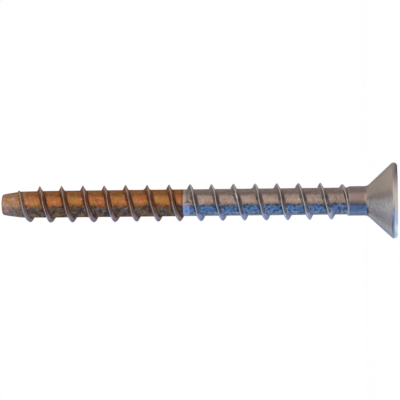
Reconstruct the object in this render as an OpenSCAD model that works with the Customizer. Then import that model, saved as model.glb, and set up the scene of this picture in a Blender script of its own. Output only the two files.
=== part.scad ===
// Countersunk concrete screw made of two welded metals: a stainless shank with the head, and a
// hardened steel tip that cuts its own thread into the wall of a drilled hole.
// The screw stands on the flat face of its head. +Z runs along the axis to the tip.

/* [Overall] */
// Length from the flat face of the head to the end of the tip
overall_length = 80; // [60:1:140]
// Height of the weld between the stainless shank and the hardened tip
weld_height = 43; // [25:0.1:50]

/* [Head] */
// Largest diameter of the head
head_d = 15.3; // [13:0.1:17]
// Full angle of the cone under the head
head_angle = 86; // [80:1:100]
// Height of the straight band around the rim
rim_land = 0.35; // [0.2:0.05:0.8]
// Rounding between the rim and the flat face
rim_rounding = 0.65; // [0.3:0.05:0.9]
// Rounding between the rim and the cone
rim_edge_rounding = 0.45; // [0.1:0.05:0.5]

/* [Drive recess] */
// Diameter over the lobes of the six-lobed recess
recess_d = 6.75; // [5.6:0.05:6.9]
// Diameter between opposite valleys of the recess
recess_valley_d = 4.85; // [4:0.05:4.9]
// Radius of each lobe
recess_lobe_r = 0.56; // [0.45:0.01:0.6]
// Depth of the straight walls of the recess
recess_depth = 3.4; // [2:0.1:3.6]
// Width of the bevel around the lobes at the mouth of the recess
recess_bevel = 0.2; // [0.1:0.05:0.4]

/* [Neck] */
// Diameter of the smooth neck under the head
neck_d = 5.95; // [5.6:0.05:6.5]
// Length of the neck from the cone of the head to the slope down to the core
neck_length = 3.5; // [2.5:0.1:8]
// Length of the slope from the neck to the core
neck_slope = 0.7; // [0.3:0.1:2.5]
// Rounding between the neck and the cone of the head
neck_rounding = 1.6; // [0.4:0.1:2]

/* [Thread] */
// Diameter over the crest of the thread
thread_d = 7.5; // [7:0.1:8.5]
// Diameter of the core between the turns of the thread
core_d = 5.45; // [4.8:0.05:5.5]
// Distance along the axis from one turn to the next
thread_pitch = 4.38; // [3.5:0.01:6]
// Width of the thread where it rises from the core
thread_root_w = 1.3; // [0.9:0.05:1.8]
// Width of the narrow flat along the crest
thread_crest_w = 0.16; // [0.1:0.01:0.4]
// Distance from the end of the neck to the middle of the fading thread, which starts on the +X side
runout_gap = 0.25; // [0.1:0.05:1]
// Turns over which the fading thread follows the end of the neck before it climbs
edge_turns = 0.72; // [0.3:0.01:0.75]
// Turns over which the thread fades out towards the head
runout_turns = 1.45; // [0.5:0.05:3]
// Turns over which the thread rises from the tip
lead_turns = 0.9; // [0.4:0.1:2]

/* [Tip] */
// Diameter of the blunt end
tip_end_d = 4.25; // [3:0.05:4.6]
// Rounding around the blunt end
tip_rounding = 0.35; // [0.2:0.05:0.8]
// Length of the cone at the tip
tip_cone_length = 3.8; // [2.5:0.1:6]
// Amount by which the core narrows before the cone of the tip
tip_narrowing = 0.15; // [0.05:0.05:0.4]
// Length over which the core narrows
core_taper_length = 6; // [4:0.5:20]
// Length without thread at the end of the tip
tip_plain = 2.05; // [1:0.05:4]

/* [Hidden] */

steel_grey = [0.62, 0.60, 0.57];
bronze_brown = [0.55, 0.34, 0.16];

// Smoothness of turned surfaces and of the small arcs in their outlines
$fn = 72;
arc_steps = 6;
recess_arc_steps = 8;
// Flat stretches that stand for one turn of the thread
turn_steps = 36;
// How far the root of the thread reaches into the core, for a solid bond
root_sink = 0.3;
// Depth below the core's surface at which the flanks of the thread begin
flank_sink = 0.1;
// Least height that the thread keeps where it has faded out
fade_height = 0.02;
// Share of its full height below which the thread also narrows
full_width_share = 0.5;
// Overlap that keeps cuts clear of the faces they pass
cut_margin = 1;
// Lobes of the recess, and how its bevel and the cone of its floor slope against the flat face
recess_lobes = 6;
recess_bevel_angle = 20;
recess_floor_angle = 30;
// How far the cone of the floor starts above the floor and inside the valleys
floor_sink = 0.1;

head_r = head_d / 2;
neck_r = neck_d / 2;
core_r = core_d / 2;
thread_r = thread_d / 2;
tip_end_r = tip_end_d / 2;
tip_shoulder_r = (core_d - tip_narrowing) / 2;

// Cone of the head: half angle, height where it starts and height where it would meet the neck
cone_half = head_angle / 2;
cone_start = rim_rounding + rim_land;
cone_end = cone_start + (head_r - neck_r) / tan(cone_half);
// Rounding from the rim to the cone, which takes up no more than the straight band
rim_edge_r = min(rim_edge_rounding, rim_land / tan(cone_half / 2));
rim_edge_z = cone_start - rim_edge_r * tan(cone_half / 2);
// Stretch of cone and neck that the rounding between them takes up, and height where the neck ends
neck_tangent = neck_rounding * tan(cone_half / 2);
neck_end = cone_end + neck_length;

// Heights along the tip and the thread
cone_base = overall_length - tip_cone_length;
taper_base = cone_base - core_taper_length;
thread_start = neck_end + runout_gap;
thread_end = overall_length - tip_plain;

// Turns of the thread from where it has run out, and turns at which the weld crosses it
thread_turns = edge_turns + (thread_end - thread_start) / thread_pitch;
weld_turn = edge_turns + (weld_height - thread_start) / thread_pitch;

// Points of an arc about a centre, from one angle to another
function arc(centre, radius, from, to, steps) = [
    for (i = [0 : steps])
        let (angle = from + (to - from) * i / steps)
        centre + radius * [cos(angle), sin(angle)]
];

// Radius of the core at a height
function core_radius(z) = lookup(z, [
    [taper_base, core_r],
    [cone_base, tip_shoulder_r],
    [overall_length, tip_end_r]
]);

// Height of the middle of the thread after a number of turns: along the neck, then up a helix
function thread_z(turn) = thread_start + thread_pitch * max(0, turn - edge_turns);

// Share of its full height that the thread has after a number of turns
function thread_share(turn) =
    let (from_head = turn / runout_turns)
    let (from_tip = (thread_turns - turn) / lead_turns)
    max(0, min(1, from_head, from_tip));

// Section of the thread after a number of turns, as points in space
function thread_section(turn) =
    let (z = thread_z(turn))
    let (share = thread_share(turn))
    let (root = core_radius(z))
    let (base = root - flank_sink)
    let (crest = base + fade_height + (thread_r - base - fade_height) * share)
    let (spread = (thread_root_w - thread_crest_w) * min(1, share / full_width_share))
    let (root_half = (thread_crest_w + spread) / 2)
    let (outline = [
        [root - root_sink, -root_half],
        [base, -root_half],
        [crest, -thread_crest_w / 2],
        [crest, thread_crest_w / 2],
        [base, root_half],
        [root - root_sink, root_half]
    ])
    [for (p = outline) [p.x * cos(360 * turn), p.x * sin(360 * turn), z + p.y]];

// Stretch of thread between two numbers of turns, on steps that both metals share
module thread(from_turn, to_turn) {
    first = max(0, floor(from_turn * turn_steps));
    last = min(ceil(thread_turns * turn_steps), ceil(to_turn * turn_steps));
    turns = [for (i = [first : last]) min(thread_turns, i / turn_steps)];
    sections = [for (turn = turns) thread_section(turn)];
    corners = len(sections[0]);
    sides = [
        for (i = [0 : len(turns) - 2], j = [0 : corners - 1])
            let (a = i * corners + j)
            let (b = i * corners + (j + 1) % corners)
            each [[a, a + corners, b], [b, a + corners, b + corners]]
    ];
    start_cap = [for (j = [corners - 1 : -1 : 0]) j];
    end_cap = [for (j = [0 : corners - 1]) (len(turns) - 1) * corners + j];
    polyhedron(
        points = [for (section = sections) each section],
        faces = concat([start_cap], sides, [end_cap]),
        convexity = 10
    );
}

// Outline of the head, neck and core up to a height, turned about the axis
module shank_blank(height) {
    rim = arc([head_r - rim_rounding, rim_rounding], rim_rounding, -90, 0, arc_steps);
    rim_edge = arc([head_r - rim_edge_r, rim_edge_z], rim_edge_r, 0, cone_half, arc_steps);
    neck_curve = arc(
        [neck_r + neck_rounding, cone_end + neck_tangent],
        neck_rounding, 180 + cone_half, 180, arc_steps
    );
    rotate_extrude()
        polygon(concat(
            [[0, 0]],
            rim,
            rim_edge,
            neck_curve,
            [[neck_r, neck_end], [core_r, neck_end + neck_slope], [core_r, height], [0, height]]
        ));
}

// Outline of the core and tip from a height, turned about the axis
module tip_blank(height) {
    rotate_extrude()
        polygon(concat(
            [[0, height], [core_r, height], [core_r, taper_base], [tip_shoulder_r, cone_base]],
            arc([tip_end_r - tip_rounding, overall_length - tip_rounding], tip_rounding, 0, 90, arc_steps),
            [[0, overall_length]]
        ));
}

// Outline of the six-lobed recess: round lobes joined by hollow arcs that meet them smoothly
module recess_outline() {
    half_pitch = 180 / recess_lobes;
    lobe_at = recess_d / 2 - recess_lobe_r;
    valley_at = recess_valley_d / 2;
    square_gap = lobe_at ^ 2 + valley_at ^ 2 - 2 * lobe_at * valley_at * cos(half_pitch);
    valley_r = (square_gap - recess_lobe_r ^ 2)
        / (2 * (recess_lobe_r - valley_at + lobe_at * cos(half_pitch)));
    valley_centre = (valley_at + valley_r) * [cos(half_pitch), sin(half_pitch)];
    lobe_half = atan2(valley_centre.y, valley_centre.x - lobe_at);
    valley_half = lobe_half - half_pitch;
    valley_middle = 180 + half_pitch;
    lobe = arc([lobe_at, 0], recess_lobe_r, -lobe_half, lobe_half, recess_arc_steps);
    valley = arc(
        valley_centre, valley_r,
        valley_middle + valley_half, valley_middle - valley_half, recess_arc_steps
    );
    polygon([
        for (k = [0 : recess_lobes - 1])
            let (turn = 2 * half_pitch * k)
            for (p = concat(lobe, valley))
                [p.x * cos(turn) - p.y * sin(turn), p.x * sin(turn) + p.y * cos(turn)]
    ]);
}

// Cone that narrows upwards to a point on the axis, at a slope against the flat face
module pointed_cone(radius, slope) {
    cylinder(h = radius * tan(slope), r1 = radius, r2 = 0);
}

// Drive recess with a bevelled mouth and a conical floor
module drive_recess() {
    mouth_r = recess_d / 2 + recess_bevel;
    translate([0, 0, -cut_margin])
        linear_extrude(height = cut_margin + recess_depth)
            recess_outline();
    translate([0, 0, -cut_margin])
        pointed_cone(mouth_r + cut_margin / tan(recess_bevel_angle), recess_bevel_angle);
    translate([0, 0, recess_depth - floor_sink])
        pointed_cone(recess_valley_d / 2 - floor_sink, recess_floor_angle);
}

// All the room on one side of the weld, wide enough for the thread
module weld_side(bottom, height) {
    translate([0, 0, bottom])
        cylinder(h = height, r = head_d);
}

// Stainless steel piece: head with its recess, neck, and the threaded shank up to the weld
module stainless_shank() {
    color(steel_grey)
        difference() {
            intersection() {
                union() {
                    shank_blank(weld_height + cut_margin);
                    thread(0, weld_turn + 1);
                }
                weld_side(-cut_margin, weld_height + cut_margin);
            }
            drive_recess();
        }
}

// Hardened steel piece: threaded core from the weld to the blunt tip
module hardened_tip() {
    color(bronze_brown)
        intersection() {
            union() {
                tip_blank(weld_height - cut_margin);
                thread(weld_turn - 1, thread_turns);
            }
            weld_side(weld_height, overall_length);
        }
}

stainless_shank();
hardened_tip();
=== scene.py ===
"""Looks of a countersunk concrete screw that stands on its head.

A stainless shank with the head is welded to a hardened tip in a bronze-coloured coating. Both are turned
meshes whose rows follow the thread. The screw and the camera are given in millimetres, and the room, the
floor and the lamps in metres.
"""

import math

import bpy
import numpy as np
from mathutils import Matrix, Vector


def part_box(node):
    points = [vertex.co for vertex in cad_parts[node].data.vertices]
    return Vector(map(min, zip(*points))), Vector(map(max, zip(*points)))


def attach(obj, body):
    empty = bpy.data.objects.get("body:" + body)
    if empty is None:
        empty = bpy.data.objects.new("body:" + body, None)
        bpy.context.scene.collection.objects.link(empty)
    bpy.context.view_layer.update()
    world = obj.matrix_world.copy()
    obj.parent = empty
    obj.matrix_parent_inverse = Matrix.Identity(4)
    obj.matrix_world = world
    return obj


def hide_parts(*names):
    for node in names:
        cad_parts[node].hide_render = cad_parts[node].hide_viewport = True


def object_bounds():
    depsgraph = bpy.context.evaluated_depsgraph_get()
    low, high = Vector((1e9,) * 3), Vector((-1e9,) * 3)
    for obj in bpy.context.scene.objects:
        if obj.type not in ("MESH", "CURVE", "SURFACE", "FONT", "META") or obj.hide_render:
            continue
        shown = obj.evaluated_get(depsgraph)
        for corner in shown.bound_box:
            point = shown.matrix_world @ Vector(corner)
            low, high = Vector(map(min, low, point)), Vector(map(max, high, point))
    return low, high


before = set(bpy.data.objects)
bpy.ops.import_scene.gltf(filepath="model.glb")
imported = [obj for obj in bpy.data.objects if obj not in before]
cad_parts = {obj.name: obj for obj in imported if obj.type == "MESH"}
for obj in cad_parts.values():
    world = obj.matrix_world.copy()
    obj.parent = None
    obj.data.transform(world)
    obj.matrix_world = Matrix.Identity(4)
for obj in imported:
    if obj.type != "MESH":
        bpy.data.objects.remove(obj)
cad_low, cad_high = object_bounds()

MM = 0.001

# Sizes that the frame gives
tip_low, tip_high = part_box("hardened_tip")
LENGTH = cad_high.z / MM
HEAD_R = (cad_high.x - cad_low.x) / 2 / MM
WELD = tip_low.z / MM
THREAD_R = tip_high.x / MM

# Head, with a rounder edge between rim and cone than the solid has
HEAD_HALF_ANGLE = math.radians(43)
RIM_LAND = 0.35
RIM_ROUNDING = 0.65
RIM_EDGE_ROUNDING = 0.85
NECK_R = 2.975
NECK_LENGTH = 3.5
NECK_SLOPE = 0.7
NECK_ROUNDING = 1.6
CONE_START = RIM_ROUNDING + RIM_LAND
CONE_END = CONE_START + (HEAD_R - NECK_R) / math.tan(HEAD_HALF_ANGLE)
NECK_TANGENT = NECK_ROUNDING * math.tan(HEAD_HALF_ANGLE / 2)
NECK_END = CONE_END + NECK_LENGTH

# Drive recess
RECESS_R = 3.375
VALLEY_R = 2.425
LOBE_R = 0.56
LOBES = 6
RECESS_DEPTH = 3.4
MOUTH_R = 3.575
MOUTH_SLOPE = math.tan(math.radians(20))
FLOOR_SLOPE = math.tan(math.radians(30))
FLOOR_R = 2.15
# Radius and height of one more ring of vertices on its floor and on its wall
FLOOR_RING_R = 1.1
WALL_RING = 1.6
# Small easings of the edges of its floor, of its mouth and of the slope inside the mouth
FLOOR_EASE = 0.06
MOUTH_EASE = 0.04
SLOPE_EASE = 0.03

# Thread and core, with a slimmer root of the thread than the solid has
CORE_R = 2.725
PITCH = 4.38
ROOT_W = 1.18
CREST_W = 0.16
CREST_ROUNDING = 0.1
FLANK_SINK = 0.1
ROOT_BLEND = 0.22
HEAD_SIDE_BLEND = 0.4
LEAST_BLEND = 0.03
LEAST_CREST = 0.1
RUNOUT_GAP = 0.25
EDGE_TURNS = 0.72
EDGE_EASE = 0.08
RUNOUT_TURNS = 1.45
LEAD_TURNS = 0.9
LEAD_GAP = 2.05
FULL_WIDTH_SHARE = 0.7
THREAD_START = NECK_END + RUNOUT_GAP
THREAD_END = LENGTH - LEAD_GAP
THREAD_TURNS = EDGE_TURNS + (THREAD_END - THREAD_START) / PITCH
# Numbers of the first and last ridge that a column along the axis may cross
RIDGES = (-3, 19)
# How full the flanks are: 1 is straight, more is bulging and less is hollow
SHANK_FULLNESS = 1.3
TIP_FULLNESS = 1.05
HEAD_SIDE_FULLNESS = 0.92
# Reach of the painted shade along the root of a flank, and of the wider painted shade beside it
ROOT_SHADE = 0.1
SIDE_SHADE = 0.45
# Share of the painted shade that the stainless roots have
SHANK_SHADE = 0.3
# How far the thread wanders along the axis, in waves of (radians a turn, start, share)
WANDER = 0.035
WANDER_WAVES = [(11, 0, 1), (29, 1, 0.8)]
# Share of its height that the thread lacks in places, where both waves of (radians a turn, start) agree
CREST_LOSS = 0.05
LOSS_WAVES = [(7, 0), (23, 2)]

# Tip
TIP_R = 2.125
TIP_ROUNDING = 0.35
TIP_CONE = 3.8
TIP_SHOULDER_R = 2.65
TIP_RING_R = 0.4
CORE_TAPER = 6
TIP_BASE = LENGTH - TIP_CONE
TAPER_START = TIP_BASE - CORE_TAPER
# Length and lower end of the stretch in which no row of the mesh follows the thread
TIP_PLAIN = 1.1
TIP_PLAIN_FROM = LENGTH - TIP_PLAIN

# Laps, bulges and cracks that rolling left in the surface
LAPS = [
    # Angle in degrees and height of the start, then of the end, rise, half width and share of painted shade
    # in the groove
    (-75, 31.9, -58, 33.0, 0.38, 0.18, 0.0),
    (-22, 33.35, -22, 33.35, 0.35, 0.3, 0.0),
    (-65, 41.4, -110, 40.6, -0.15, 0.1, 1.0),
    (-49, 41.8, -52, 41.7, 0.3, 0.2, 0.0),
    (-93, 42.55, -86, 42.0, -0.05, 0.11, 1.0),
    (-86, 42.0, -90, 41.35, -0.05, 0.11, 1.0),
    (-109, 16.5, -92, 15.9, 0.05, 0.08, 0.0),
    (-75, 61.0, -72, 60.0, -0.05, 0.08, 1.0),
    (-64, 60.7, -84, 60.4, -0.05, 0.08, 1.0),
    (-10, 29.0, -10, 29.0, 0.22, 0.25, 0.0),
    (-10, 24.6, -10, 24.6, 0.22, 0.25, 0.0),
    (-10, 20.2, -10, 20.2, 0.22, 0.25, 0.0),
    (-10, 50.9, -10, 50.9, 0.2, 0.25, 0.0),
]
# Length that stands for that of a lap whose ends are one point
LEAST_LAP = 0.03

# Columns of vertices around the axis, and rows across one turn of the thread
COLUMNS = 180
HALF_ROWS = [0, 0.05, 0.09, 0.13, 0.19, 0.26, 0.34, 0.42, 0.5,
             0.58, 0.65, 0.72, 0.8, 0.9, 1.05, 1.25, 1.5, 1.85]
TURN_ROWS = [-PITCH / 2] + [-u for u in reversed(HALF_ROWS[1:])] + HALF_ROWS
# Least distance along the axis between the thread's rows and a plain row
ROW_GAP = 0.03
# Steps of the plain rows
FACE_STEPS = 5
CONE_STEPS = 14
ARC_STEPS = 10
RIM_EDGE_STEPS = 6
TIP_ARC_STEPS = 8
TIP_STEPS = 3
# First keys of the thread's rows and of the rows after them
THREAD_KEY = 10_000
END_KEY = 1_000_000
# Vertices at the two ends of a mesh
POLES = 2
# Angle between faces from which an edge is shaded sharp
SHARP_ANGLE = math.radians(50)
# Attributes of the meshes: share of the thread's height, share of painted shade along the roots and in the
# grooves of the laps, and closeness to a ridge
TRAITS = ("thread_height", "thread_shade", "thread_side")


def arc(centre, radius, start, end, steps):
    """Points (r, z) of an arc about a centre, between two angles in degrees."""
    angles = np.radians(np.linspace(start, end, steps + 1))
    return [(centre[0] + radius * math.cos(a), centre[1] + radius * math.sin(a)) for a in angles]


def line(start, end, steps):
    """Points (r, z) that divide a straight stretch, without its first point."""
    shares = [(i + 1) / steps for i in range(steps)]
    return [(start[0] + (end[0] - start[0]) * s, start[1] + (end[1] - start[1]) * s) for s in shares]


def smooth_max(a, b, width):
    """The larger of two values, rounded where they meet."""
    h = np.clip(0.5 + 0.5 * (a - b) / width, 0, 1)
    return b + (a - b) * h + width * h * (1 - h)


def blank_radius(z):
    """Radius of the neck, core and tip at a height, without the thread."""
    heights = [NECK_END, NECK_END + NECK_SLOPE, TAPER_START, TIP_BASE, LENGTH]
    return np.interp(z, heights, [NECK_R, CORE_R, CORE_R, TIP_SHOULDER_R, TIP_R])


def thread_share(turn):
    """Share of its full height that the thread has after a number of turns."""
    return np.clip(np.minimum(turn / RUNOUT_TURNS, (THREAD_TURNS - turn) / LEAD_TURNS), 0, 1)


def thread_middle(turn):
    """Height of the middle of the thread after a number of turns: along the neck, then up a helix."""
    climb = smooth_max(turn - EDGE_TURNS, 0, EDGE_EASE) + np.minimum(turn, 0)
    wander = sum(share * np.sin(rate * turn + start) for rate, start, share in WANDER_WAVES)
    return THREAD_START + PITCH * climb + WANDER * wander * thread_share(turn)


def ridges_at(angle):
    """Turns of the thread that a column crosses, with the heights of their middles."""
    turns = np.arange(RIDGES[0], RIDGES[1] + 1) + angle / math.tau
    return turns, thread_middle(turns)


def nearest_ridge(angle, z):
    """Turns of the ridges nearest to heights at an angle, and how far the heights are above them."""
    turns, middles = ridges_at(angle)
    nearest = np.abs(z[:, None] - middles[None, :]).argmin(axis=1)
    return turns[nearest], z - middles[nearest]


def laps_at(angle, z):
    """Rise of the surface and share of painted shade in their grooves that the laps bring at an angle and
    heights.
    """
    rise = np.zeros_like(z)
    groove_shade = np.zeros_like(z)
    for start_angle, start_z, end_angle, end_z, lap_rise, width, shade_share in LAPS:
        off = (angle - math.radians(start_angle) + math.pi) % math.tau - math.pi
        x = off * CORE_R
        y = z - start_z
        run = (math.radians(end_angle - start_angle) * CORE_R, end_z - start_z)
        length = max(math.hypot(*run), LEAST_LAP)
        along = np.clip((x * run[0] + y * run[1]) / length ** 2, 0, 1)
        bell = np.exp(-((x - along * run[0]) ** 2 + (y - along * run[1]) ** 2) / width ** 2)
        rise += lap_rise * bell
        groove_shade = np.maximum(groove_shade, shade_share * bell)
    return rise, groove_shade


def ridge_radius(turn, along, z, half, share):
    """Radius of a ridge's flanks at distances along the axis from its middle, and radius of its crest."""
    root = np.interp(z, [TAPER_START, TIP_BASE, LENGTH], [CORE_R, TIP_SHOULDER_R, TIP_R])
    base = root - FLANK_SINK
    waves = [np.sin(rate * turn + start) for rate, start in LOSS_WAVES]
    loss = CREST_LOSS * np.maximum(0, np.prod(waves, axis=0))
    crest = base + (THREAD_R - base) * share * (1 - loss)
    reach = np.hypot(along, CREST_ROUNDING) - CREST_ROUNDING
    fall = reach / (np.hypot(half, CREST_ROUNDING) - CREST_ROUNDING)
    tip_side = np.where(z < WELD, SHANK_FULLNESS, TIP_FULLNESS)
    fullness = np.where(along > 0, tip_side, HEAD_SIDE_FULLNESS)
    return crest - (crest - base) * fall ** fullness, crest


def surface_radius(angle, z):
    """Radius of the threaded surface at an angle and heights, the share of the thread's height there,
    the share of painted shade along the roots and in the laps' grooves, and the closeness to a ridge."""
    blank = blank_radius(z)
    turn, along = nearest_ridge(angle, z)
    share = thread_share(turn)
    widening = share / FULL_WIDTH_SHARE
    half = (CREST_W + (ROOT_W - CREST_W) * np.minimum(1, widening)) / 2
    flank, crest = ridge_radius(turn, along, z, half, share)
    blend = np.where(along > 0, ROOT_BLEND, HEAD_SIDE_BLEND) * np.clip(widening, LEAST_BLEND, 1)
    radius = np.where(share > 0, smooth_max(blank, flank, blend), blank)
    height = np.clip((radius - blank) / np.maximum(crest - blank, LEAST_CREST), 0, 1)
    past_root = np.abs(along) - half
    shade = np.exp(-(past_root / ROOT_SHADE) ** 2) * share * np.where(z < WELD, SHANK_SHADE, 1)
    side = np.exp(-(np.maximum(past_root, 0) / SIDE_SHADE) ** 2) * share
    rise, groove_shade = laps_at(angle, z)
    return np.minimum(radius + rise, THREAD_R), height, np.maximum(shade, groove_shade), side


def thread_rows(angle, low, high):
    """Keys and heights of the rows that follow the thread at an angle, between two heights."""
    rows = []
    _, middles = ridges_at(angle)
    for i in range(1, len(middles) - 1):
        below = (middles[i] - middles[i - 1]) / PITCH
        above = (middles[i + 1] - middles[i]) / PITCH
        for j, along in enumerate(TURN_ROWS):
            z = middles[i] + along * (above if along > 0 else below)
            if low + ROW_GAP < z < high - ROW_GAP:
                rows.append((THREAD_KEY + i * len(TURN_ROWS) + j, z))
    return rows


def recess_radius(angle):
    """Radius of the lobed recess at an angle: round lobes joined by hollow arcs that meet them smoothly."""
    half = math.pi / LOBES
    lobe_at = RECESS_R - LOBE_R
    gap = lobe_at ** 2 + VALLEY_R ** 2 - 2 * lobe_at * VALLEY_R * math.cos(half)
    valley_arc = (gap - LOBE_R ** 2) / (2 * (LOBE_R - VALLEY_R + lobe_at * math.cos(half)))
    valley_at = VALLEY_R + valley_arc
    meet = math.atan2(valley_at * math.sin(half), valley_at * math.cos(half) - lobe_at)
    meet_angle = math.atan2(LOBE_R * math.sin(meet), lobe_at + LOBE_R * math.cos(meet))
    off = (angle + half) % (2 * half) - half
    if abs(off) < meet_angle:
        across = lobe_at * math.sin(off)
        return lobe_at * math.cos(off) + math.sqrt(LOBE_R ** 2 - across ** 2)
    across = valley_at * math.sin(half - abs(off))
    return valley_at * math.cos(half - abs(off)) - math.sqrt(valley_arc ** 2 - across ** 2)


def stitch(left, right):
    """Faces between two columns of (key, vertex), which share most of their keys."""
    faces = []
    i = j = 0
    while i + 1 < len(left) or j + 1 < len(right):
        next_left = left[i + 1][0] if i + 1 < len(left) else math.inf
        next_right = right[j + 1][0] if j + 1 < len(right) else math.inf
        corner = [left[i][1], right[j][1]]
        if next_left == next_right:
            faces.append(corner + [right[j + 1][1], left[i + 1][1]])
        elif next_left < next_right:
            faces.append(corner + [left[i + 1][1]])
        else:
            faces.append(corner + [right[j + 1][1]])
        i += next_left <= next_right
        j += next_right <= next_left
    return faces


def column_points(column_at):
    """Columns of (key, vertex), with the points and traits of the vertices that follow the two poles."""
    columns, points, traits = [], [], []
    for i in range(COLUMNS):
        angle = math.tau * i / COLUMNS
        column = []
        for key, r, z, *trait in column_at(angle):
            column.append((key, POLES + len(points)))
            points.append((r * math.cos(angle), r * math.sin(angle), z))
            traits.append(trait)
        columns.append(column)
    return columns, points, traits


def column_faces(columns):
    """Faces between neighbouring columns, and between their ends and the poles 0 and 1."""
    faces = []
    for i, left in enumerate(columns):
        right = columns[(i + 1) % COLUMNS]
        if i + 1 == COLUMNS:
            # After a full turn each ridge meets the next one
            turn = len(TURN_ROWS)
            right = [(k - turn if THREAD_KEY <= k < END_KEY else k, v) for k, v in right]
        faces.append([0, right[0][1], left[0][1]])
        faces += stitch(left, right)
        faces.append([1, left[-1][1], right[-1][1]])
    return faces


def turned_mesh(name, column_at, first_pole, last_pole):
    """Piece with a closed mesh from columns of (key, r, z, traits of the thread) and a point at each end."""
    columns, points, traits = column_points(column_at)
    points = [(0, 0, first_pole), (0, 0, last_pole)] + points
    traits = [[0] * len(TRAITS)] * POLES + traits
    mesh = bpy.data.meshes.new(name)
    mesh.from_pydata([Vector(p) * MM for p in points], [], column_faces(columns))
    for trait, values in zip(TRAITS, np.array(traits, np.float32).T):
        data = mesh.attributes.new(trait, "FLOAT", "POINT").data
        data.foreach_set("value", np.ascontiguousarray(values))
    mesh.polygons.foreach_set("use_smooth", [True] * len(mesh.polygons))
    mesh.set_sharp_from_angle(angle=SHARP_ANGLE)
    mesh.validate()
    piece = bpy.data.objects.new(name, mesh)
    bpy.context.scene.collection.objects.link(piece)
    return piece


def plain_rows(first_key, profile):
    """Rows of a column that have no thread on them."""
    return [(first_key + n, r, z, 0, 0, 0) for n, (r, z) in enumerate(profile)]


def threaded_rows(angle, low, high):
    """Rows of a column along the thread."""
    rows = thread_rows(angle, low, high)
    heights = np.array([z for key, z in rows])
    surface = zip(*surface_radius(angle, heights))
    return [(key, radius, z, *traits) for (key, z), (radius, *traits) in zip(rows, surface)]


def end_row(key, angle, z):
    """Row of a column at the weld."""
    radius, *traits = surface_radius(angle, np.array([z]))
    return (key, radius[0], z, *[trait[0] for trait in traits])


def recess_profile(angle):
    """Points (r, z) of a column from the recess floor up its wall to the edge of its mouth."""
    wall = recess_radius(angle)
    mouth = (MOUTH_R - wall) * MOUTH_SLOPE
    drop = SLOPE_EASE * MOUTH_SLOPE
    return [
        (FLOOR_RING_R, RECESS_DEPTH + (FLOOR_R - FLOOR_RING_R) * FLOOR_SLOPE),
        (FLOOR_R, RECESS_DEPTH),
        (wall - FLOOR_EASE, RECESS_DEPTH),
        (wall, RECESS_DEPTH - FLOOR_EASE),
        (wall, WALL_RING),
        (wall, mouth + MOUTH_EASE),
        (wall + SLOPE_EASE, mouth - drop),
        (MOUTH_R - SLOPE_EASE, drop),
        (MOUTH_R + MOUTH_EASE, 0),
    ]


def head_profile(angle):
    """Points (r, z) of a column from the recess floor over the face, rim and cone to the neck."""
    recess = recess_profile(angle)
    face = line(recess[-1], (HEAD_R - RIM_ROUNDING, 0), FACE_STEPS)
    rim = arc((HEAD_R - RIM_ROUNDING, RIM_ROUNDING), RIM_ROUNDING, -90, 0, ARC_STEPS)[1:]
    half = math.degrees(HEAD_HALF_ANGLE)
    edge_z = CONE_START - RIM_EDGE_ROUNDING * math.tan(HEAD_HALF_ANGLE / 2)
    edge = arc((HEAD_R - RIM_EDGE_ROUNDING, edge_z), RIM_EDGE_ROUNDING, 0, half, RIM_EDGE_STEPS)
    centre = (NECK_R + NECK_ROUNDING, CONE_END + NECK_TANGENT)
    curve = arc(centre, NECK_ROUNDING, 180 + half, 180, ARC_STEPS)
    cone = line(edge[-1], curve[0], CONE_STEPS)[:-1]
    return recess + face + rim + edge + cone + curve


def shank_column(angle):
    """Column of the stainless piece, from the recess floor to the weld."""
    profile = head_profile(angle)
    top = profile[-1][1]
    return plain_rows(0, profile) + threaded_rows(angle, top, WELD) + [end_row(END_KEY, angle, WELD)]


def tip_column(angle):
    """Column of the hardened piece, from the weld to the blunt end."""
    centre = (TIP_R - TIP_ROUNDING, LENGTH - TIP_ROUNDING)
    end = arc(centre, TIP_ROUNDING, 0, 90, TIP_ARC_STEPS)
    start = (float(blank_radius(TIP_PLAIN_FROM)), TIP_PLAIN_FROM)
    side = [start] + line(start, end[0], TIP_STEPS)[:-1]
    profile = side + end + line(end[-1], (TIP_RING_R, LENGTH), TIP_STEPS)
    threaded = threaded_rows(angle, WELD, TIP_PLAIN_FROM)
    return [end_row(0, angle, WELD)] + threaded + plain_rows(END_KEY, profile)


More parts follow.
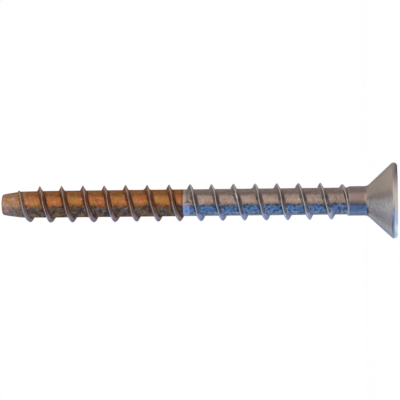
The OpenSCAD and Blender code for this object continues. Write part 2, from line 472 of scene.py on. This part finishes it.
class Graph:
    """Node tree with a short call for each kind of node that the finishes and the room use."""

    def __init__(self, tree):
        self.tree = tree

    def feed(self, socket, value):
        """Give a socket a value, or link another socket to it."""
        if isinstance(value, bpy.types.NodeSocket):
            self.tree.links.new(value, socket)
        else:
            socket.default_value = value

    def node(self, kind, inputs=None, **settings):
        """Outputs of a new node, with its settings made and its inputs fed."""
        made = self.tree.nodes.new("ShaderNode" + kind)
        for name, value in settings.items():
            setattr(made, name, value)
        for name, value in (inputs or {}).items():
            self.feed(made.inputs[name], value)
        return made.outputs

    def mix(self, share, first, second):
        """Colour between two colours."""
        return self.node("Mix", {"Factor": share, "A": first, "B": second}, data_type="RGBA")["Result"]

    def ramp(self, value, span, ends=(0.0, 1.0)):
        """Smooth step between two ends as a value goes from the start to the end of a span."""
        inputs = {"Value": value, "From Min": span[0], "From Max": span[1]}
        inputs.update({"To Min": ends[0], "To Max": ends[1]})
        return self.node("MapRange", inputs, interpolation_type="SMOOTHSTEP")["Result"]

    def calc(self, operation, first, second):
        """Result of an operation on two values."""
        made = self.tree.nodes.new("ShaderNodeMath")
        made.operation = operation
        for socket, value in zip(made.inputs, (first, second)):
            self.feed(socket, value)
        return made.outputs["Value"]

    def times(self, first, second):
        """Product of two values."""
        return self.calc("MULTIPLY", first, second)

    def add(self, value, mask, share=1.0):
        """Value plus a share of a mask."""
        return self.calc("ADD", value, self.times(mask, share))

    def larger(self, first, second):
        """Larger one of two values."""
        return self.calc("MAXIMUM", first, second)

    def axes(self, vector):
        """Outputs X, Y and Z of a vector."""
        return self.node("SeparateXYZ", {"Vector": vector})

    def length(self, vector):
        """Length of a vector."""
        return self.node("VectorMath", {"Vector": vector}, operation="LENGTH")["Value"]

    def mirrored(self, rays):
        """1 for rays that a surface mirrored or let through, and 0 for others."""
        return self.larger(rays["Is Glossy Ray"], rays["Is Transmission Ray"])


# Share of the noise that frays the edge of the rubbed crest, which on the stainless is also a painted
# highlight, and the span of height that the edge has
CREST_FRAY = 0.3
CREST_EDGE_WIDTH = 0.12
# Span of the thread's height over which its flank begins, and span of the noise and shares of the painted
# shade along the roots
FLANK_SPAN = (0.1, 0.4)
SHADE_NOISE_SPAN = (0.3, 0.6)
SHADE_SHARES = (0.3, 0.9)


class Metal(Graph):
    """New metal with its place in millimetres, the thread's attributes and the marks along the thread."""

    def __init__(self, name):
        self.material = bpy.data.materials.new(name)
        self.material.use_nodes = True
        super().__init__(self.material.node_tree)
        self.shader = self.tree.nodes["Principled BSDF"]
        self.shader.inputs["Metallic"].default_value = 1
        position = self.node("TexCoord")["Object"]
        self.place = self.node("Mapping", {"Vector": position, "Scale": (1 / MM,) * 3})["Vector"]
        axes = self.axes(self.place)
        self.x, self.y, self.z = axes["X"], axes["Y"], axes["Z"]
        traits = [self.node("Attribute", attribute_name=trait)["Fac"] for trait in TRAITS]
        self.crest, self.root, self.side = traits

    def clouds(self, scale, detail, roughness):
        """Cloudy noise between 0 and 1, around 0.5."""
        inputs = {"Vector": self.place, "Scale": scale, "Detail": detail, "Roughness": roughness}
        return self.node("TexNoise", inputs)["Fac"]

    def mark_thread(self, noise, crest_from):
        """Set the shares of flank, of the rubbed crest, which on the stainless is also a painted highlight,
        and of the painted shade along the roots and in the laps' grooves.
        """
        edge = (crest_from, crest_from + CREST_EDGE_WIDTH)
        self.rubbed_and_lit_crest = self.ramp(self.add(self.crest, noise, CREST_FRAY), edge)
        self.flank = self.calc("SUBTRACT", self.ramp(self.crest, FLANK_SPAN), self.rubbed_and_lit_crest)
        # Painted shade along the roots of the thread and in the grooves of the laps, broken up by noise
        self.painted_root_shade = self.times(self.root, self.ramp(noise, SHADE_NOISE_SPAN, SHADE_SHARES))

    def finish(self, colour, roughness, relief, depth):
        """Connect colour, roughness and relief, whose depth is in millimetres, and return the material."""
        inputs = {"Height": relief, "Distance": depth * MM, "Strength": 1.0}
        self.feed(self.shader.inputs["Base Color"], colour)
        self.feed(self.shader.inputs["Roughness"], roughness)
        self.feed(self.shader.inputs["Normal"], self.node("Bump", inputs)["Normal"])
        return self.material


# Colours of both metals
STEEL = (0.46, 0.44, 0.415, 1)
STEEL_DULL = (0.37, 0.345, 0.325, 1)
STEEL_DARK = (0.13, 0.115, 0.12, 1)
STEEL_BRIGHT = (0.58, 0.56, 0.53, 1)
STEEL_PALE = (0.74, 0.73, 0.72, 1)
# Colour of the painted shade along the roots of the thread and in the grooves of the laps
PAINTED_SHADE = (0.05, 0.035, 0.04, 1)
OCHRE = (0.5, 0.28, 0.08, 1)
GOLD = (0.7, 0.42, 0.15, 1)
COPPER = (0.54, 0.22, 0.08, 1)
ROSE = (0.62, 0.42, 0.3, 1)
SAND = (0.72, 0.46, 0.22, 1)
UMBER = (0.53, 0.2, 0.055, 1)
BROWN = (0.15, 0.07, 0.045, 1)
FLANK_BROWN = (0.5, 0.31, 0.22, 1)
FLANK_LIT = (0.68, 0.45, 0.26, 1)
COAT_EDGE = (0.85, 0.68, 0.58, 1)
# Pink of a painted highlight near the end of the tip
TIP_HIGHLIGHT_PINK = (1.0, 0.55, 0.42, 1)

# Noise of the stainless finish: scale, detail and roughness
STEEL_GRAIN = (3.4, 6.0, 0.7)
STEEL_BLOTCHES = (0.9, 2.0, 0.6)
STEEL_SPECKS = (1.6, 3.0, 0.6)
# Noise of the rings from turning
RING_SCALE = 5.0
RING_DETAIL = 4.0
# Span of a mask that is used from end to end
WHOLE = (0.0, 1.0)
# Spans of the noise over which its marks begin, and the shares of colour that they have
BLOTCH_SPAN = (0.35, 0.65)
SMUDGE_SPAN = (0.4, 0.24)
SMUDGE_AND_SHADE_SHARES = (0.45, 0.85)
LIT_SPAN = (0.55, 0.7)
LIT_SHARES = (0.0, 0.8)
RING_SPAN = (0.35, 0.65)
RING_SHARES = (0.4, 0.9)
UNDER_HIGHLIGHT_SPECKS = (0.32, 0.48)
# Span of the thread's height at the foot of its flank
FLANK_FOOT = (0.05, 0.3)
# How the flank and the underside shift the noise that makes smudges and lit specks; the extra smudges below
# are painted shade
FLANK_CLEANS = 0.1
UNDER_SHADE_SHIFT = -0.13
UNDER_LIGHTS = 0.04
# Spans of X over which the underside and the shade along the neck begin and end
STEEL_UNDER = (0.2, -0.6)
NECK_SHADE_TOP = (0.9, -0.4)
NECK_SHADE_FOOT = (-2.5, -1.0)
NECK_SHADE_SHARES = (0.0, 0.4)
# Spans of height of the turned head, its neck, and the painted highlights on the rim and on the foot of the
# cone
HEAD_SPAN = (NECK_END + 0.9, NECK_END - 0.2)
NECK_SPAN = (CONE_END - NECK_TANGENT, CONE_END + NECK_TANGENT)
RIM_HIGHLIGHT_SPAN = (CONE_START + 0.05, CONE_START - 0.3)
RIM_HIGHLIGHT_SHARES = (0.0, 0.8)
CONE_HIGHLIGHT_SPAN = (4.5, 1.0)
CONE_HIGHLIGHT_SHARES = (0.0, 0.6)
# Spans of height of the heated band and of the pale seam at the weld
HEATED_SPAN = (WELD - 1.0, WELD - 0.6)
HEATED_SHARES = (0.0, 0.8)
# Shares of painted shade on top of the heated band and of a painted highlight below it
TOP_SHADE_SHARES = (0.25, 0.0)
UNDER_HIGHLIGHT_SHARES = (0.0, 1.2)
SEAM_SPAN = (WELD - 0.8, WELD - 0.5)
SEAM_SHARES = (0.0, 0.6)
# Share of the thread's height, with noise added, from which the crest is rubbed and painted pale as a
# highlight
STEEL_CREST_FROM = 0.94
# Roughness of the plain steel over the span of its grain, and what its parts add
STEEL_GRAIN_SPAN = (0.3, 0.7)
STEEL_ROUGHNESS = (0.1, 0.17)
FLANK_ROUGHENS = 0.08
NECK_ROUGHENS = 0.06
HEAT_ROUGHENS = 0.32
# Relief: depth in millimetres, middles and shares of bumps and rings, and how the parts flatten it
STEEL_RELIEF = 0.11
BUMPS_MIDDLE = 0.575
SPECK_BUMPS = 0.15
RING_MIDDLE = 0.5
RING_RELIEF = 0.22
HEAD_FLATTENS = -0.85
FLANK_RELIEF = (0.15, 1.0)
UNDER_RELIEF = (0.4, 1.0)


def turning_rings(metal):
    """Fine rings that turning leaves around the axis, as noise between 0 and 1."""
    flat = metal.node("CombineXYZ", {"X": metal.x, "Y": metal.y})["Vector"]
    along = metal.calc("SUBTRACT", metal.length(flat), metal.z)
    inputs = {"W": along, "Scale": RING_SCALE, "Detail": RING_DETAIL}
    return metal.node("TexNoise", inputs, noise_dimensions="1D")["Fac"]


def stainless_shank_colour(metal):
    """Colour of the shank: blotched, with smudges that are partly painted shade and denser and darker
    towards -X, and lit specks.
    """
    colour = metal.mix(metal.ramp(metal.blotches, BLOTCH_SPAN), STEEL, STEEL_DULL)
    smudges = metal.add(metal.specks, metal.ramp(metal.crest, FLANK_FOOT), FLANK_CLEANS)
    smudges = metal.add(smudges, metal.under, UNDER_SHADE_SHIFT)
    # Smudges, denser and darker towards -X as painted shade
    smudged_and_shaded = metal.times(metal.ramp(smudges, SMUDGE_SPAN), metal.ramp(metal.under, WHOLE, SMUDGE_AND_SHADE_SHARES))
    colour = metal.mix(smudged_and_shaded, colour, STEEL_DARK)
    lit = metal.add(metal.specks, metal.under, UNDER_LIGHTS)
    return metal.mix(metal.ramp(lit, LIT_SPAN, LIT_SHARES), colour, STEEL_BRIGHT)


def stainless_head_colour(metal, colour):
    """Colour with the ringed head, shaded neck, and painted highlights on the rim and on the foot of the
    cone.
    """
    ringed = metal.times(metal.head, metal.ramp(metal.rings, RING_SPAN, RING_SHARES))
    colour = metal.mix(ringed, colour, STEEL)
    shade = metal.ramp(metal.x, NECK_SHADE_TOP, NECK_SHADE_SHARES)
    shade = metal.times(shade, metal.ramp(metal.x, NECK_SHADE_FOOT))
    colour = metal.mix(metal.times(metal.neck, shade), colour, STEEL_DARK)
    # Painted highlights: a pale rim and a brighter foot of the cone
    colour = metal.mix(metal.ramp(metal.z, RIM_HIGHLIGHT_SPAN, RIM_HIGHLIGHT_SHARES), colour, STEEL_PALE)
    return metal.mix(metal.ramp(metal.z, CONE_HIGHLIGHT_SPAN, CONE_HIGHLIGHT_SHARES), colour, STEEL_BRIGHT)


def stainless_weld_colour(metal, colour):
    """Colour with the heated band at the weld on it: darker above as painted shade, paler below in specks as
    a painted highlight, and pale at the seam.
    """
    # Painted shade on the top side of the heated band
    top_shade = metal.times(metal.heated, metal.ramp(metal.under, WHOLE, TOP_SHADE_SHARES))
    colour = metal.mix(top_shade, colour, STEEL_DARK)
    # Painted highlight in specks on the underside of the heated band
    under_highlight = metal.times(metal.heated, metal.ramp(metal.under, WHOLE, UNDER_HIGHLIGHT_SHARES))
    under_highlight = metal.times(under_highlight, metal.ramp(metal.specks, UNDER_HIGHLIGHT_SPECKS))
    colour = metal.mix(under_highlight, colour, STEEL_PALE)
    return metal.mix(metal.ramp(metal.z, SEAM_SPAN, SEAM_SHARES), colour, STEEL_PALE)


def stainless_roughness(metal):
    """Roughness of the stainless steel."""
    roughness = metal.ramp(metal.grain, STEEL_GRAIN_SPAN, STEEL_ROUGHNESS)
    roughness = metal.add(roughness, metal.flank, FLANK_ROUGHENS)
    roughness = metal.add(roughness, metal.neck, NECK_ROUGHENS)
    return metal.add(roughness, metal.heated, HEAT_ROUGHENS)


def stainless_relief(metal):
    """Relief of the stainless steel: bumps on the shank, mostly below, and rings on the cone."""
    bumps = metal.add(metal.blotches, metal.specks, SPECK_BUMPS)
    bumps = metal.calc("SUBTRACT", bumps, BUMPS_MIDDLE)
    plain = metal.add(1.0, metal.head, HEAD_FLATTENS)
    plain = metal.times(plain, metal.ramp(metal.crest, FLANK_FOOT[::-1], FLANK_RELIEF))
    plain = metal.times(plain, metal.ramp(metal.under, WHOLE, UNDER_RELIEF))
    turned = metal.ramp(metal.z, NECK_SPAN[::-1])
    rings = metal.times(turned, metal.calc("SUBTRACT", metal.rings, RING_MIDDLE))
    return metal.add(metal.times(bumps, plain), rings, RING_RELIEF)


def stainless_metal():
    """Satin stainless steel: blotched, with painted shade along the roots of the thread, and rubbed and
    painted pale as a highlight along its crest.
    """
    metal = Metal("stainless")
    metal.grain = metal.clouds(*STEEL_GRAIN)
    metal.blotches = metal.clouds(*STEEL_BLOTCHES)
    metal.specks = metal.clouds(*STEEL_SPECKS)
    metal.rings = turning_rings(metal)
    metal.head = metal.ramp(metal.z, HEAD_SPAN)
    metal.neck = metal.times(metal.head, metal.ramp(metal.z, NECK_SPAN))
    metal.under = metal.ramp(metal.x, STEEL_UNDER)
    metal.heated = metal.ramp(metal.add(metal.z, metal.grain), HEATED_SPAN, HEATED_SHARES)
    metal.mark_thread(metal.blotches, STEEL_CREST_FROM)
    colour = stainless_head_colour(metal, stainless_shank_colour(metal))
    colour = stainless_weld_colour(metal, colour)
    # Rubbed crest, painted pale as a highlight
    colour = metal.mix(metal.rubbed_and_lit_crest, colour, STEEL_PALE)
    colour = metal.mix(metal.painted_root_shade, colour, PAINTED_SHADE)
    return metal.finish(colour, stainless_roughness(metal), stainless_relief(metal), STEEL_RELIEF)


# Noise of the bronze finish: scale, detail and roughness
BRONZE_MOTTLE = (1.7, 6.0, 0.7)
BRONZE_SMUDGES = (1.0, 4.0, 0.6)
BRONZE_SPECKS = (1.5, 4.0, 0.6)
BRONZE_PATCHES = (0.5, 3.0, 0.6)
# Spans of the noise over which its marks begin, and the shares of colour that they have
PATCH_SPAN = (0.4, 0.6)
GOLD_SPAN = (0.5, 0.68)
GOLD_SHARES = (0.0, 0.8)
UMBER_SPAN = (0.42, 0.58)
SIDE_SPAN = (0.6, 0.4)
SIDE_SHARES = (0.0, 0.6)
BROWN_SPAN = (0.42, 0.32)
BROWN_SHARES = (0.0, 0.7)
ROSE_SPAN = (0.54, 0.68)
ROSE_SHARES = (0.0, 0.9)
FLECK_SPAN = (0.68, 0.76)
# Span of X over which the underside, painted darker as shade and smudged, begins, how far smudges fray its
# edge, and its share of colour
BRONZE_UNDER = (1.6, 0.5)
UNDER_FRAY = 3.0
UNDER_SHADE_SHARE = 0.9
# Span of height of the worn end, and what the wear does there
END_SPAN = (LENGTH - 9, LENGTH - 1)
END_SPARES = -0.7
END_SAND = 0.3
END_WEAR = 0.14
# Span of height of the dark edge at the weld, and span of X over which the flanks turn pale with painted
# light towards -X
WELD_EDGE_SPAN = (WELD + 0.5, WELD + 0.1)
WELD_EDGE_SHARES = (0.0, 0.6)
FLANK_LIT_X = (1.2, -0.8)
# Place of a painted highlight near the end of the tip, and the span of distance that its edge has
TIP_HIGHLIGHT_AT = Vector((-1.3, -1.85, 79.05))
TIP_HIGHLIGHT_SPAN = (1.25, 0.75)
# Share of the thread's height, with noise added, from which the crest is rubbed
BRONZE_RUBBED_FROM = 0.84
# Roughness of the coating over the span of its mottle, and what its parts add
MOTTLE_SPAN = (0.3, 0.7)
BRONZE_ROUGHNESS = (0.26, 0.37)
UNDER_ROUGHENS = 0.08
END_ROUGHENS = 0.15
COATED_FLANK_ROUGHENS = 0.14
WORN_SMOOTHS = -0.2
TIP_HIGHLIGHT_ROUGHENS = 0.2
# Relief: depth in millimetres and share of the mottle
BRONZE_RELIEF = 0.04
MOTTLE_BUMPS = 0.15


def bronze_core_colour(metal):
    """Colour of the coating between the ridges: mottled, smudged and painted darker as shade below, with
    painted shade beside the ridges, and sandy at the end.
    """
    colour = metal.mix(metal.ramp(metal.patches, PATCH_SPAN), OCHRE, COPPER)
    colour = metal.mix(metal.ramp(metal.mottle, GOLD_SPAN, GOLD_SHARES), colour, GOLD)
    # Painted shade on the -X side, mixed from brown and umber by the smudge noise
    underside = metal.mix(metal.ramp(metal.smudges, UMBER_SPAN), BROWN, UMBER)
    spared = metal.add(UNDER_SHADE_SHARE, metal.end, END_SPARES)
    colour = metal.mix(metal.times(metal.under, spared), colour, underside)
    # Painted shade beside the ridges, broken up by the smudge noise
    smudged_and_shaded = metal.times(metal.side, metal.ramp(metal.smudges, SIDE_SPAN, SIDE_SHARES))
    colour = metal.mix(smudged_and_shaded, colour, BROWN)
    colour = metal.mix(metal.ramp(metal.mottle, BROWN_SPAN, BROWN_SHARES), colour, BROWN)
    colour = metal.mix(metal.times(metal.end, END_SAND), colour, SAND)
    colour = metal.mix(metal.ramp(metal.wear, ROSE_SPAN, ROSE_SHARES), colour, ROSE)
    return metal.mix(metal.ramp(metal.z, WELD_EDGE_SPAN, WELD_EDGE_SHARES), colour, BROWN)


def bronze_colour(metal):
    """Colour of the coating with its flanks, paler towards -X as painted light, bare flecks and crests,
    painted shade along the roots and in the cracks, and a painted highlight near the end.
    """
    # Flanks painted paler towards -X as painted light
    flanks = metal.mix(metal.ramp(metal.x, FLANK_LIT_X), FLANK_BROWN, FLANK_LIT)
    colour = metal.mix(metal.flank, bronze_core_colour(metal), flanks)
    colour = metal.mix(metal.worn, colour, STEEL_BRIGHT)
    colour = metal.mix(metal.painted_root_shade, colour, PAINTED_SHADE)
    return metal.mix(metal.chip, colour, TIP_HIGHLIGHT_PINK)


def bronze_roughness(metal):
    """Roughness of the coating."""
    roughness = metal.ramp(metal.mottle, MOTTLE_SPAN, BRONZE_ROUGHNESS)
    roughness = metal.add(roughness, metal.under, UNDER_ROUGHENS)
    roughness = metal.add(roughness, metal.end, END_ROUGHENS)
    roughness = metal.add(roughness, metal.flank, COATED_FLANK_ROUGHENS)
    roughness = metal.add(roughness, metal.worn, WORN_SMOOTHS)
    return metal.add(roughness, metal.chip, TIP_HIGHLIGHT_ROUGHENS)


def bronze_metal():
    """Hardened steel in a mottled, smudged bronze coating that is rubbed off on the crest and the tip, with
    painted shade on its -X side and beside the ridges and a painted highlight near the end.
    """
    metal = Metal("bronze")
    metal.mottle = metal.clouds(*BRONZE_MOTTLE)
    metal.smudges = metal.clouds(*BRONZE_SMUDGES)
    metal.patches = metal.clouds(*BRONZE_PATCHES)
    metal.under = metal.ramp(metal.add(metal.x, metal.smudges, UNDER_FRAY), BRONZE_UNDER)
    metal.end = metal.ramp(metal.z, END_SPAN)
    metal.wear = metal.add(metal.clouds(*BRONZE_SPECKS), metal.end, END_WEAR)
    metal.mark_thread(metal.mottle, BRONZE_RUBBED_FROM)
    metal.worn = metal.larger(metal.ramp(metal.wear, FLECK_SPAN), metal.rubbed_and_lit_crest)
    # Painted highlight near the end of the tip, with an edge frayed by the mottle
    from_chip = metal.node("Mapping", {"Vector": metal.place, "Location": -TIP_HIGHLIGHT_AT})["Vector"]
    metal.chip = metal.ramp(metal.add(metal.length(from_chip), metal.mottle), TIP_HIGHLIGHT_SPAN)
    metal.shader.inputs["Specular Tint"].default_value = COAT_EDGE
    relief = metal.add(metal.smudges, metal.mottle, MOTTLE_BUMPS)
    return metal.finish(bronze_colour(metal), bronze_roughness(metal), relief, BRONZE_RELIEF)


# Camera beside the head, with the tip to the left of the picture
CAMERA_AT = Vector((0, -397.6, 8.6))
LOOK_AT = Vector((0.525, 0, 39.709))
ROLL = -0.0112
FOCAL_PIXELS = 1971.4
PICTURE_PIXELS = 400
SENSOR = 36
CLIP_START = 0.01
CLIP_END = 20


def add_camera():
    """Camera on its side, so that the screw's axis runs across the picture."""
    forward = (LOOK_AT - CAMERA_AT).normalized()
    right = Vector((0, 0, -1))
    right = (right - forward * right.dot(forward)).normalized()
    up = right.cross(forward)
    rolled_right = right * math.cos(ROLL) + up * math.sin(ROLL)
    rolled_up = up * math.cos(ROLL) - right * math.sin(ROLL)
    camera = bpy.data.objects.new("camera", bpy.data.cameras.new("camera"))
    camera.data.sensor_width = SENSOR
    camera.data.lens = FOCAL_PIXELS / PICTURE_PIXELS * SENSOR
    camera.data.clip_start = CLIP_START
    camera.data.clip_end = CLIP_END
    turn = Matrix((rolled_right, rolled_up, -forward)).transposed()
    camera.matrix_world = Matrix.Translation(CAMERA_AT * MM) @ turn.to_4x4()
    bpy.context.scene.collection.objects.link(camera)
    bpy.context.scene.camera = camera


# Lamps, with a front light that fades towards -X in three steps
WARM_LIGHT = (1.0, 0.76, 0.59)
FRONT_LIGHT = (1.0, 0.8, 0.62)
COOL_LIGHT = (0.08, 0.38, 1.0)
SOFTBOXES = [
    # Name, bearing in degrees from -Y towards +X, distance, width, height, colour and radiance
    ("warm_softbox", 38, 0.6, 0.36, 0.44, WARM_LIGHT, 0.46),
    ("side_softbox", 63, 0.6, 0.17, 0.44, WARM_LIGHT, 0.22),
    ("front_softbox", 14, 0.6, 0.169, 0.44, FRONT_LIGHT, 0.55),
    ("front_fade_softbox", -1, 0.6, 0.147, 0.44, FRONT_LIGHT, 0.42),
    ("front_edge_softbox", -15, 0.6, 0.147, 0.44, FRONT_LIGHT, 0.2),
    ("cool_softbox", -67, 0.5, 0.68, 0.3, COOL_LIGHT, 0.8),
]


def add_softbox(name, bearing, distance, width, height, colour, radiance):
    """Upright flat lamp that stands on the floor's level, faces the screw and is hidden from the camera."""
    lamp = bpy.data.lights.new(name, "AREA")
    lamp.shape = "RECTANGLE"
    lamp.size = width
    lamp.size_y = height
    lamp.color = colour
    lamp.energy = radiance * math.pi * width * height
    box = bpy.data.objects.new(name, lamp)
    angle = math.radians(bearing)
    place = Vector((math.sin(angle) * distance, -math.cos(angle) * distance, height / 2))
    facing = Vector((-place.x, -place.y, 0))
    box.matrix_world = Matrix.Translation(place) @ facing.to_track_quat("-Z", "Y").to_matrix().to_4x4()
    box.visible_camera = False
    bpy.context.scene.collection.objects.link(box)


# Colours of the room
WHITE = (1, 1, 1, 1)
WALL_WARM = (0.38, 0.28, 0.27, 1)
WALL_COOL = (0.1, 0.09, 0.1, 1)
BACK_WARM = (0.42, 0.35, 0.33, 1)
BACK_COOL = (0.36, 0.46, 0.68, 1)
CEILING_WARM = (0.6, 0.53, 0.48, 1)
CEILING_GAP = (0.42, 0.36, 0.36, 1)
CEILING_COOL = (0.7, 0.71, 0.75, 1)
CEILING_EDGE = (0.45, 0.46, 0.56, 1)
DARK_PATCH = (0.13, 0.12, 0.15, 1)
# Spans of a direction's X, Y or Z over which the parts of the room begin
WALL_WARM_X = (-0.55, -0.2)
BACK_WARM_X = (-0.1, 0.3)
BACK_Y = (-0.1, 0.25)
CEILING_GAP_X = (0.02, 0.14)
CEILING_WARM_X = (0.24, 0.4)
CEILING_EDGE_X = (-0.28, -0.48)
CEILING_EDGE_Z = (0.5, 0.8)
CEILING_Z = (0.25, 0.65)
PATCH_LOW_X = (-0.36, -0.24)
PATCH_HIGH_X = (0.2, 0.08)
PATCH_Y = (0.5, 0.75)
PATCH_Z = (0.22, 0.38)
SIDE_PATCH_X = (-0.62, -0.72)
SIDE_PATCH_Z = (0.32, 0.45)
BACKDROP_Y = (0.975, 0.99)


def room_colour(graph, x, y, z):
    """Colour of the room in a direction, with dark patches above the backdrop and towards -X."""
    walls = graph.mix(graph.ramp(x, WALL_WARM_X), WALL_COOL, WALL_WARM)
    back = graph.mix(graph.ramp(x, BACK_WARM_X), BACK_COOL, BACK_WARM)
    walls = graph.mix(graph.ramp(y, BACK_Y), walls, back)
    ceiling = graph.mix(graph.ramp(x, CEILING_GAP_X), CEILING_COOL, CEILING_GAP)
    ceiling = graph.mix(graph.ramp(x, CEILING_WARM_X), ceiling, CEILING_WARM)
    edge = graph.times(graph.ramp(x, CEILING_EDGE_X), graph.ramp(z, CEILING_EDGE_Z))
    ceiling = graph.mix(edge, ceiling, CEILING_EDGE)
    room = graph.mix(graph.ramp(z, CEILING_Z), walls, ceiling)
    patch = graph.times(graph.ramp(y, PATCH_Y), graph.ramp(z, PATCH_Z))
    patch = graph.times(patch, graph.ramp(x, PATCH_LOW_X))
    patch = graph.times(patch, graph.ramp(x, PATCH_HIGH_X))
    beside = graph.times(graph.ramp(x, SIDE_PATCH_X), graph.ramp(z, SIDE_PATCH_Z))
    return graph.mix(graph.larger(patch, beside), room, DARK_PATCH)


def add_world():
    """Room around the screw, warm towards +X and cool towards -X. To the camera it is white all over, and
    in reflections it is white straight behind the screw."""
    world = bpy.data.worlds.new("room")
    bpy.context.scene.world = world
    world.use_nodes = True
    graph = Graph(world.node_tree)
    graph.tree.nodes.clear()
    towards = graph.axes(graph.node("TexCoord")["Generated"])
    room = room_colour(graph, towards["X"], towards["Y"], towards["Z"])
    rays = graph.node("LightPath")
    backdrop = graph.times(graph.mirrored(rays), graph.ramp(towards["Y"], BACKDROP_Y))
    colour = graph.mix(graph.larger(rays["Is Camera Ray"], backdrop), room, WHITE)
    background = graph.node("Background", {"Color": colour})["Background"]
    graph.node("OutputWorld", {"Surface": background})


# Floor: radius, depth below the head's face, corners and colour
FLOOR_SIZE = 1.5
FLOOR_GAP = 0.00002
FLOOR_CORNERS = 128
FLOOR_PALE = (0.48, 0.48, 0.48, 1)
# What its glow adds to the light on it: to the camera, and in reflections close to the screw and far away
CAMERA_GLOW = (0.755, 0.755, 0.755, 1)
BLACK = (0, 0, 0, 1)
NEAR_COOL = (0.42, 0.57, 0.82, 1)
NEAR_MIDDLE = (0.58, 0.55, 0.52, 1)
NEAR_STREAK = (0.72, 0.87, 1.0, 1)
NEAR_WARM = (0.02, 0.0, 0.04, 1)
MID_COOL = (0.2, 0.3, 0.65, 1)
FAR_WARM = (0.1, 0.045, 0.05, 1)
FAR_COOL = (0.0, 0.08, 0.35, 1)
# Spans over which these parts begin: of the share of X in the way from the screw, of Y and of distance
NEAR_MIDDLE_SHARE = (-0.5, -0.1)
NEAR_WARM_SHARE = (0.1, 0.9)
STREAK_LOW_SHARE = (-0.93, -0.85)
STREAK_HIGH_SHARE = (-0.6, -0.75)
BEHIND_WARM_SHARE = (-0.2, 0.2)
FAR_WARM_SHARE = (-0.25, -0.03)
BEHIND_Y = (-0.004, 0.004)
FAR_DISTANCE = (0.013, 0.022)
FAR_COOL_DISTANCE = (0.04, 0.09)


def floor_sheen(graph):
    """Colour that the floor glows with in reflections: tinted, and mostly darker than to the camera."""
    place = graph.node("TexCoord")["Object"]
    axes = graph.axes(place)
    away = graph.length(place)
    across = graph.calc("DIVIDE", axes["X"], away)
    near = graph.mix(graph.ramp(across, NEAR_MIDDLE_SHARE), NEAR_COOL, NEAR_MIDDLE)
    near = graph.mix(graph.ramp(across, NEAR_WARM_SHARE), near, NEAR_WARM)
    streak = graph.times(graph.ramp(across, STREAK_HIGH_SHARE), graph.ramp(across, STREAK_LOW_SHARE))
    near = graph.mix(streak, near, NEAR_STREAK)
    behind = graph.mix(graph.ramp(across, BEHIND_WARM_SHARE), NEAR_COOL, NEAR_WARM)
    near = graph.mix(graph.ramp(axes["Y"], BEHIND_Y), near, behind)
    far = graph.mix(graph.ramp(away, FAR_COOL_DISTANCE), MID_COOL, FAR_COOL)
    far = graph.mix(graph.ramp(across, FAR_WARM_SHARE), far, FAR_WARM)
    return graph.mix(graph.ramp(away, FAR_DISTANCE), near, far)


def floor_material():
    """Pale matt floor that glows up to white to the camera, and by its sheen in reflections."""
    material = bpy.data.materials.new("floor_white")
    material.use_nodes = True
    graph = Graph(material.node_tree)
    inputs = graph.tree.nodes["Principled BSDF"].inputs
    inputs["Base Color"].default_value = FLOOR_PALE
    inputs["Roughness"].default_value = 1
    inputs["Emission Strength"].default_value = 1
    rays = graph.node("LightPath")
    glow = graph.mix(graph.mirrored(rays), BLACK, floor_sheen(graph))
    graph.feed(inputs["Emission Color"], graph.mix(rays["Is Camera Ray"], glow, CAMERA_GLOW))
    return material


def add_floor():
    """Round floor that the head stands on."""
    mesh = bpy.data.meshes.new("floor")
    ring = [math.tau * i / FLOOR_CORNERS for i in range(FLOOR_CORNERS)]
    corners = [(FLOOR_SIZE * math.cos(a), FLOOR_SIZE * math.sin(a), -FLOOR_GAP) for a in ring]
    mesh.from_pydata(corners, [], [range(FLOOR_CORNERS)])
    floor = bpy.data.objects.new("floor", mesh)
    bpy.context.scene.collection.objects.link(floor)
    mesh.materials.append(floor_material())


shank = turned_mesh("stainless_shank_piece", shank_column, RECESS_DEPTH + FLOOR_R * FLOOR_SLOPE, WELD)
tip = turned_mesh("hardened_tip_piece", tip_column, WELD, LENGTH)
pieces = [(shank, "stainless_shank", "stainless"), (tip, "hardened_tip", "hardened_steel")]
for piece, node_name, slot in pieces:
    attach(piece, "root")
    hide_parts(node_name)
shank.data.materials.append(stainless_metal())
tip.data.materials.append(bronze_metal())

add_camera()
add_world()
add_floor()
for softbox in SOFTBOXES:
    add_softbox(*softbox)

bpy.context.scene.view_settings.view_transform = "Standard"
